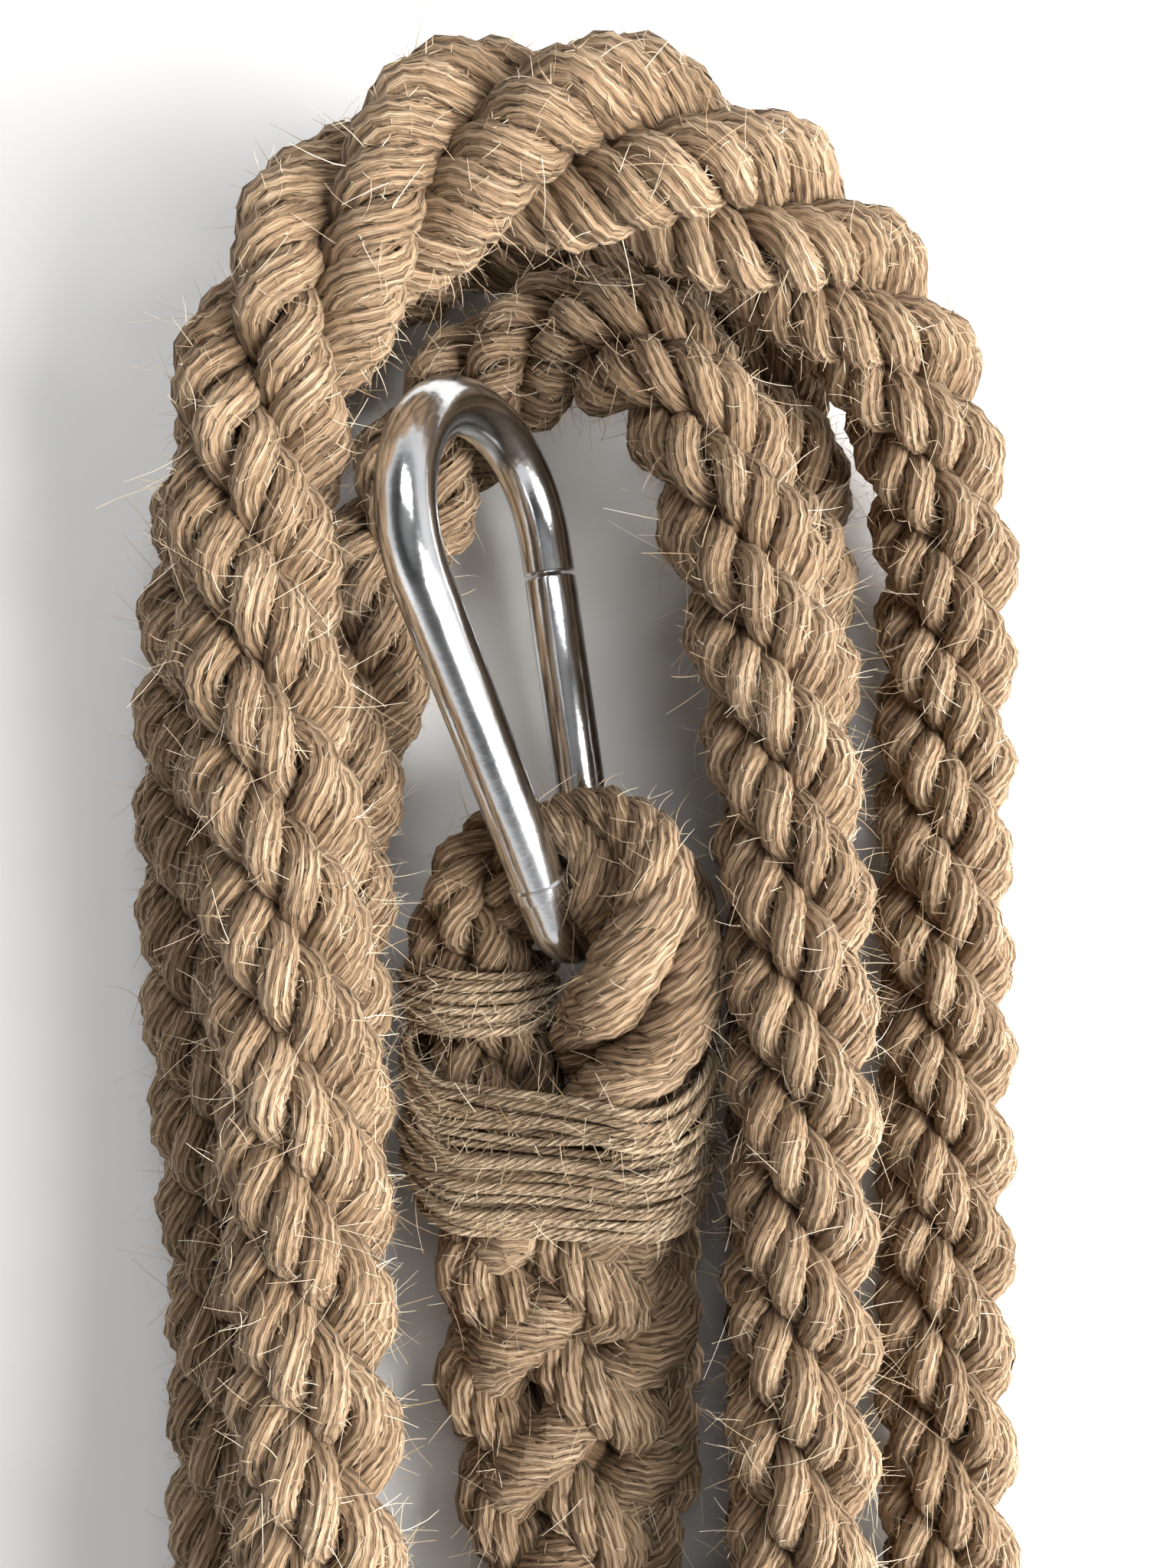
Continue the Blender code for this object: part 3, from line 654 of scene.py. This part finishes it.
def plate(start, end, half_width, thick, out=0.0):
    """(vertices, faces) of a plate along the gate's line, its thickness across the hook's plane."""
    corners = []
    for along in (start, end):
        for side in (-thick / 2, thick / 2):
            for edge in (-half_width, half_width):
                corners.append(on_gate(along, out + edge, side))
    ends = [(0, 1, 3, 2), (4, 6, 7, 5)]
    sides = [(0, 4, 5, 1), (2, 3, 7, 6), (0, 2, 6, 4), (1, 5, 7, 3)]
    return np.array(corners), ends + sides


def hook_object(name, shape):
    """A closed solid from (vertices, faces) in the hook's frame."""
    points, faces = shape
    mesh = bpy.data.meshes.new(name)
    mesh.from_pydata(from_hook(points).tolist(), [], [list(f) for f in faces])
    work = bmesh.new()
    work.from_mesh(mesh)
    bmesh.ops.recalc_face_normals(work, faces=work.faces)
    work.to_mesh(mesh)
    work.free()
    obj = bpy.data.objects.new(name, mesh)
    bpy.context.scene.collection.objects.link(obj)
    return obj


def carved(name, base, changes, material, body, stands_for):
    """base with shapes added to it or cut from it, in place of the CAD node stands_for."""
    obj = hook_object(name + "_blank", base)
    helpers = []
    for operation, shape in changes:
        helper = hook_object(name + "_tool", shape)
        change = obj.modifiers.new(operation, "BOOLEAN")
        change.operation = operation
        change.object = helper
        helpers.append(helper)
    graph = bpy.context.evaluated_depsgraph_get()
    mesh = bpy.data.meshes.new_from_object(obj.evaluated_get(graph))
    for used in helpers + [obj]:
        bpy.data.objects.remove(used)
    mesh.materials.clear()
    mesh.shade_smooth()
    mesh.set_sharp_from_angle(angle=math.radians(32))
    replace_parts(place(name, mesh, material, body), stands_for)


def build_hook(material):
    """The hook's wire, collar and gate, with rounded ends and real slots. Its small CAD parts stay."""
    path = [on_gate(NOSE_SHOULDER_AT + further) for further in (0, 0.0005, 0.003)]
    path += arc(CENTRES_APART, WIDE_RADIUS, -TAPER, math.pi + TAPER, 90)
    foot = np.array([-GATE_FOOT[0], GATE_FOOT[1], 0])
    way = np.array([-GATE_WAY[0], GATE_WAY[1], 0])
    path += [foot + way * at for at in np.linspace(0.068, 0.004, 17)]
    path += arc(0, NARROW_RADIUS, math.pi + TAPER, 2 * math.pi - TAPER, 48)
    path += [on_gate(0.0005), on_gate(HINGE_SHOULDER_AT)]
    radii = np.full(len(path), WIRE_RADIUS)
    radii[0] -= 0.0005
    radii[-1] -= 0.0005
    changes = [
        ("UNION", plate(NOSE_TIP_AT + 0.0008, NOSE_SHOULDER_AT + 0.0013, 0.0030, 0.0026)),
        ("UNION", plate(NOSE_TIP_AT, NOSE_TIP_AT + 0.0024, 0.0033, 0.0050)),
        ("UNION", plate(HINGE_SHOULDER_AT - 0.0017, TONGUE_END_AT, 0.0034, 0.0034)),
    ]
    carved("hook_wire", bar(path, radii), changes, material, "hook", "hook_body")
    gate_path, gate_radii = straight(GATE_START, GATE_END, WIRE_RADIUS)
    wide = WIRE_RADIUS * 1.5
    cuts = [
        ("DIFFERENCE", plate(GATE_START - 0.001, TONGUE_END_AT + 0.0016, wide, 0.0042)),
        ("DIFFERENCE", plate(NOSE_TIP_AT - 0.001, GATE_END + 0.001, wide, 0.0034, wide - 0.0039)),
        ("DIFFERENCE", plate(NOSE_TIP_AT - 0.0008, NOSE_TIP_AT + 0.003, wide, 0.0058, wide - 0.0039)),
    ]
    carved("gate_bar", bar(gate_path, gate_radii), cuts, material, "gate", "gate")
    middle = foot + way * 0.008
    band = [middle + way * at for at in (-0.0017, -0.0013, 0.0013, 0.0017)]
    collar = bar(band, [0.0056, 0.0061, 0.0061, 0.0056])
    carved("collar_band", collar, [], material, "hook", "collar_ring")
    for name in ("hinge_rivet", "spring_plunger", "gate_spring"):
        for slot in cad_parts[name].material_slots:
            slot.material = material


# ---------------------------------------------------------------- the hank


def build_rope(material):
    """The hank's one rope, from the foot of the splice to its whipped end."""
    first = LEAD + LEFT_1 + TOP_1 + RIGHT_1
    second = BOTTOM_2 + LEFT_2 + TOP_2 + RIGHT_2
    third = BOTTOM_3 + LEFT_3 + TOP_3 + RIGHT_3
    points = [ROPE_FOOT] + first + second + third
    line = evenly(to_row(smooth_line(points)), ROPE_STEP)
    crown = to_row([TOP_2[3]])[0]
    near = np.exp(-((np.linalg.norm(line - crown, axis=1) / 0.062) ** 2)) * (line[:, 2] > 0.045)
    radius = ROPE_RADIUS * (1 + (OPEN_SCALE - 1) * near) * ROPE_SWELL
    pitch = STRAND_PITCH * (1 + 0.35 * near)
    yarns = Yarns()
    cable(yarns, line, radius, CORD_SIDES, pitch, phase=ROPE_PHASE)
    return yarns.build("rope", material, "jute_rope", *ROPE_NODES), line


def build_eye(material):
    """The eye: two fat sides and a crown squeezed where it passes through the hook."""
    route = EYE_LEFT_FOOT + EYE_LEFT + EYE_CROWN[1:-1] + EYE_RIGHT + EYE_RIGHT_FOOT
    line = evenly(to_row(smooth_line(route)), ROPE_STEP)
    along = lengths_along(line)
    below = ease((-0.047 - HANK_CENTRE[1] - line[:, 1]) / 0.008)
    line[:, 0] += np.where(line[:, 0] < -0.007 - HANK_CENTRE[0], 0.0028, -0.0028) * below
    hook = to_row(EYE_CROWN[4])
    at_hook = int(np.linalg.norm(line - hook, axis=1).argmin())
    off = np.abs(along - along[at_hook])
    free = ease((off - 0.004) / 0.022)
    y = line[:, 1] + HANK_CENTRE[1]
    lashed = np.maximum(ease((-0.060 - y) / 0.006), ease((-0.036 - y) / 0.004) * (along < along[at_hook]))
    radius = EYE_THIN + (EYE_FAT - EYE_THIN) * free - 0.0020 * lashed
    pitch = np.where(along < along[at_hook], *EYE_PITCHES)
    yarns = Yarns()
    cable(yarns, line, radius, CORD_SIDES, pitch, phase=0.4, flat=(ACROSS_HOOK, 0.38 + 0.62 * free))
    build_splice(yarns)
    return yarns.build("rope_eye", material, "jute_rope", *EYE_NODES)


def build_splice(yarns):
    """The strands tucked back: four laid each way round the rope, over and under one another."""
    rings = np.array(SPLICE)
    y = np.arange(rings[0, 1] + 0.003, rings[-1, 1] - 0.006, -ROPE_STEP * 0.9)
    x, z, wide, high = (np.interp(-y, -rings[:, 1], rings[:, k]) for k in (0, 2, 3, 4))
    middle = np.column_stack([x, y, z])
    along = lengths_along(middle)
    size = np.interp(-y, [0.09, 0.17, 0.21], [0.0150, 0.0140, 0.0112])
    for way in (1, -1):
        for k in range(SPLICE_STRANDS):
            turn = way * 2 * math.pi * along / SPLICE_PITCH + 2 * math.pi / SPLICE_STRANDS * k
            turn = turn + SPLICE_PHASE + wobble(along, 0.03, 0.10)
            over = way * np.cos(2 * SPLICE_STRANDS * math.pi * along / SPLICE_PITCH)
            inset = size * 0.5 + 0.0030 - 0.0030 * over
            spoke = np.column_stack([np.cos(turn), np.zeros(len(y)), np.sin(turn)])
            reach = np.column_stack([wide - inset, np.zeros(len(y)), high - inset])
            centre = to_row(middle + spoke * reach)
            tangent = unit(np.gradient(centre, axis=0))
            out = unit(spoke - tangent * (spoke * tangent).sum(1, keepdims=True))
            across = np.cross(tangent, out)
            run = lengths_along(centre)
            strand_of_cords(yarns, centre, out, across, run, size, 0.7 * k, CORD_SIDES)
    # A core inside the splice with full painted shade, so the gaps between the tucked strands look dark.
    flat = np.tile([0.0, 0.0, -1.0], (len(y), 1))
    yarns.add(to_row(middle), np.minimum(wide, high) * 0.45, flat, 16, 0.0)


# ---------------------------------------------------------------- twine


def wound(circles_at, stations, grow, rise=None):
    """A line of twine wound round circles (x, z, radius), whose plane moves through the stations."""
    points = []
    for i in range((len(stations) - 1) * POINTS_PER_TURN):
        turn = 2 * math.pi * i / POINTS_PER_TURN
        y = np.interp(i / POINTS_PER_TURN, np.arange(len(stations)), stations)
        way = np.array([math.cos(turn), math.sin(turn)])
        circles = circles_at(y)
        x, z, radius = max(circles, key=lambda c: c[0] * way[0] + c[1] * way[1] + c[2])
        lift = rise(turn) if rise else 0.0
        points.append((x + way[0] * (radius + grow), y + lift, z + way[1] * (radius + grow)))
    return np.array(points)


def add_twine(yarns, line, thick, noise=0.0003):
    """One soft yarn along a line."""
    line = evenly(line, thick * 0.8)
    along = lengths_along(line)
    sideways = wobble(along, 0.03, noise * 0.6)
    lengthways = wobble(along, 0.022, noise)
    line = line + np.column_stack([sideways, lengthways, wobble(along, 0.03, noise * 0.4)])
    line[:, 2] = np.maximum(line[:, 2], 0.55 * thick)
    _, normals, _ = carried_frames(line)
    yarns.add(line, thick * 0.5 * (1 + wobble(along, 0.008, 0.12)), -normals, 8, 0.9)


def crossing(line, y):
    """(x, z) where a line crosses the plane at y."""
    order = np.argsort(line[:, 1])
    return np.interp(y, line[order, 1], line[order, 0]), np.interp(y, line[order, 1], line[order, 2])


def build_seizings(material):
    """Twine round the left side of the eye, then two bands round both its sides."""
    left = smooth_line(EYE_LEFT)
    right = smooth_line(EYE_RIGHT)

    def one(y):
        return [(*crossing(left, y), 0.0146)]

    def both(y):
        return [(*crossing(left, y), 0.0150), (*crossing(right, y), 0.0150)]

    def sag(depth):
        """How far the front of a turn hangs towards the splice."""
        return lambda turn: -depth * max(0.0, math.sin(turn)) ** 1.4

    # Each layer of turns: from y, to y, how many, height above the rope, sag, unevenness.
    bands = [
        ("side_seizing", one, [
            (-0.0518, -0.0385, 10, 0.0009, 0.0, 0.0005),
            (-0.0400, -0.0500, 5, 0.0020, 0.0015, 0.0012),
        ]),
        ("upper_seizing", both, [
            (-0.0620, -0.0530, 6, 0.0009, 0.0085, 0.0006),
            (-0.0545, -0.0600, 4, 0.0022, 0.0100, 0.0012),
            (-0.0650, -0.0560, 2, 0.0030, 0.0120, 0.0016),
        ]),
        ("lower_seizing", both, [
            (-0.0880, -0.0690, 13, 0.0009, 0.0035, 0.0005),
            (-0.0700, -0.0840, 8, 0.0022, 0.0050, 0.0013),
            (-0.0830, -0.0730, 3, 0.0034, 0.0030, 0.0022),
        ]),
    ]
    pieces = []
    for node, circles, layers in bands:
        yarns = Yarns()
        for start, end, count, grow, depth, noise in layers:
            line = wound(circles, np.linspace(start, end, count + 1), grow, sag(depth))
            add_twine(yarns, to_row(line), TWINE_THICK, noise)
        pieces.append(yarns.build(node + "_twine", material, "jute_twine", node))
    return pieces


def build_whipping(material):
    """The twine round the rope's far end."""
    end = smooth_line(RIGHT_3)
    yarns = Yarns()
    line = wound(lambda y: [(*crossing(end, y), 0.0148)], np.linspace(-0.2090, -0.2192, 8), 0.0009)
    add_twine(yarns, to_row(line), TWINE_THICK)
    return yarns.build("end_whipping_twine", material, "jute_twine", "end_whipping")


def build_tie(material):
    """The tie round the whole hank."""
    runs = [smooth_line(run) for run in (LEFT_1, RIGHT_1, LEFT_2, RIGHT_2, LEFT_3, RIGHT_3)]

    def legs(y):
        return [(*crossing(run, y), 0.0153) for run in runs]

    under = wound(legs, np.linspace(-0.1995, -0.1880, 6), 0.0016)
    over = wound(legs, np.linspace(-0.1890, -0.1980, 4), 0.0036)
    yarns = Yarns()
    add_twine(yarns, to_row(under), TIE_THICK, 0.0004)
    add_twine(yarns, to_row(over), TIE_THICK, 0.0006)
    yarns.build("hank_tie_twine", material, "jute_twine", "hank_tie")


# ---------------------------------------------------------------- stray fibre


def build_hairs(name, source, count, material, longest):
    """Stray fibres that start on a rope's surface and curl away from it."""
    mesh = source.data
    points = np.empty(len(mesh.vertices) * 3, np.float32)
    mesh.vertices.foreach_get("co", points)
    points = points.reshape(-1, 3).astype(float)
    normals = np.empty(len(mesh.vertices) * 3, np.float32)
    mesh.vertices.foreach_get("normal", normals)
    normals = normals.reshape(-1, 3).astype(float)
    shade = np.empty(len(mesh.vertices), np.float32)
    mesh.attributes["shade"].data.foreach_get("value", shade)
    outer = np.flatnonzero(shade > 0.72)
    chosen = rng.choice(outer, count)
    root = points[chosen] - normals[chosen] * 0.0002
    loose = unit(rng.normal(size=(count, 3)))
    way = unit(normals[chosen] * rng.uniform(0.15, 0.8, (count, 1)) + loose)
    way = unit(way + normals[chosen] * np.maximum(0.0, 0.1 - (way * normals[chosen]).sum(1))[:, None])
    bend = unit(rng.normal(size=(count, 3))) * rng.uniform(0.2, 1.3, (count, 1))
    long = longest * rng.uniform(0.18, 1.0, (count, 1)) ** 1.8
    thick = rng.uniform(0.00005, 0.0001, (count, 1))
    steps = np.linspace(0, 1, HAIR_ROWS)
    line = np.stack([root + way * long * t + bend * long * t * t * 0.45 for t in steps], axis=1)
    line[:, :, 2] = np.maximum(line[:, :, 2], HAIR_FLOOR_GAP)
    side = unit(np.cross(way, np.array([0.3, 0.5, 0.8])))
    other = np.cross(way, side)
    rings = []
    for k in range(3):
        turn = 2 * math.pi * k / 3
        spoke = side * math.cos(turn) + other * math.sin(turn)
        taper = np.linspace(1.0, 0.45, HAIR_ROWS)[None, :, None]
        rings.append(line + (spoke * thick)[:, None] * taper)
    vertices = np.stack(rings, axis=2).reshape(-1, 3)
    index = np.arange(count * HAIR_ROWS * 3).reshape(count, HAIR_ROWS, 3)
    after = np.roll(index, -1, axis=2)
    quads = np.stack([index[:, :-1], after[:, :-1], after[:, 1:], index[:, 1:]], axis=-1)
    quads = quads.reshape(-1, 4)
    made = bpy.data.meshes.new(name)
    made.vertices.add(len(vertices))
    made.vertices.foreach_set("co", vertices.astype(np.float32).reshape(-1))
    made.loops.add(quads.size)
    made.loops.foreach_set("vertex_index", quads.astype(np.int32).reshape(-1))
    made.polygons.add(len(quads))
    made.polygons.foreach_set("loop_start", (4 * np.arange(len(quads))).astype(np.int32))
    made.polygons.foreach_set("loop_total", np.full(len(quads), 4, np.int32))
    made.update(calc_edges=True)
    tone = made.attributes.new("tone", "FLOAT", "POINT")
    tones = np.repeat(rng.uniform(0, 1, count), HAIR_ROWS * 3)
    tone.data.foreach_set("value", tones.astype(np.float32))
    made.validate()
    made.shade_smooth()
    return place(name, made, material)


# ---------------------------------------------------------------- scene


def build_stage():
    """A pale floor, a soft sky that is bright near the horizon, and three area lights."""
    data = bpy.data.meshes.new("floor")
    data.from_pydata([(-15, -15, 0), (15, -15, 0), (15, 15, 0), (-15, 15, 0)], [], [(0, 1, 2, 3)])
    floor = bpy.data.objects.new("floor", data)
    n = Nodes("pale_floor")
    n.shader.inputs["Base Color"].default_value = (0.86, 0.86, 0.855, 1)
    n.shader.inputs["Roughness"].default_value = 0.9
    n.shader.inputs["Specular IOR Level"].default_value = 0.2
    data.materials.append(n.material)
    bpy.context.scene.collection.objects.link(floor)
    world = bpy.data.worlds.new("studio")
    world.use_nodes = True
    background = world.node_tree.nodes["Background"]
    background.inputs[1].default_value = 0.93
    way = world.node_tree.nodes.new("ShaderNodeTexCoord")
    height = world.node_tree.nodes.new("ShaderNodeSeparateXYZ")
    ramp = world.node_tree.nodes.new("ShaderNodeValToRGB")
    world.node_tree.links.new(way.outputs["Generated"], height.inputs[0])
    world.node_tree.links.new(height.outputs[2], ramp.inputs[0])
    world.node_tree.links.new(ramp.outputs[0], background.inputs[0])
    stops = [(0.0, 0.9), (0.18, 1.0), (0.5, 0.9), (0.7, 0.14), (0.9, 0.04), (1.0, 0.3)]
    while len(ramp.color_ramp.elements) < len(stops):
        ramp.color_ramp.elements.new(0.5)
    for element, (at, grey) in zip(ramp.color_ramp.elements, stops):
        element.position = at
        element.color = (grey, grey, grey * 1.01, 1)
    bpy.context.scene.world = world
    add_light("key", (0.60, -0.14, 0.48), (0.02, -0.04, 0.03), (0.4, 0.6), 19.0, (1.0, 0.985, 0.96))
    add_light("top", (0.15, 0.55, 0.85), (0.0, 0.05, 0.03), (0.5, 0.25), 3.0)
    add_light("fill", (-0.75, -0.35, 0.45), (0.0, 0.0, 0.03), (0.5, 0.5), 0.3)


def main():
    bpy.context.scene.view_settings.view_transform = "Standard"
    add_camera()
    rope_fibre = fibre_material("jute_rope", 0.0185, 12, 0.42, ROPE_COLOURS)
    twine_fibre = fibre_material("jute_twine", 0.0042, 4, 0.5, TWINE_COLOURS)
    hair = hair_material()
    zinc = zinc_material()
    rope, line = build_rope(rope_fibre)
    eye = build_eye(rope_fibre)
    seizings = build_seizings(twine_fibre)
    whipping = build_whipping(twine_fibre)
    build_tie(twine_fibre)
    for k, longest in enumerate(ROPE_HAIR_LENGTHS):
        build_hairs(f"rope_hairs_{k + 1}", rope, HAIRS, hair, longest)
    build_hairs("eye_hairs", eye, HAIRS // 2, hair, OTHER_HAIR_LENGTH)
    for piece in seizings:
        build_hairs(piece.name.replace("twine", "hairs"), piece, HAIRS // 12, hair, OTHER_HAIR_LENGTH)
    build_hook(zinc)
    build_stage()


main()
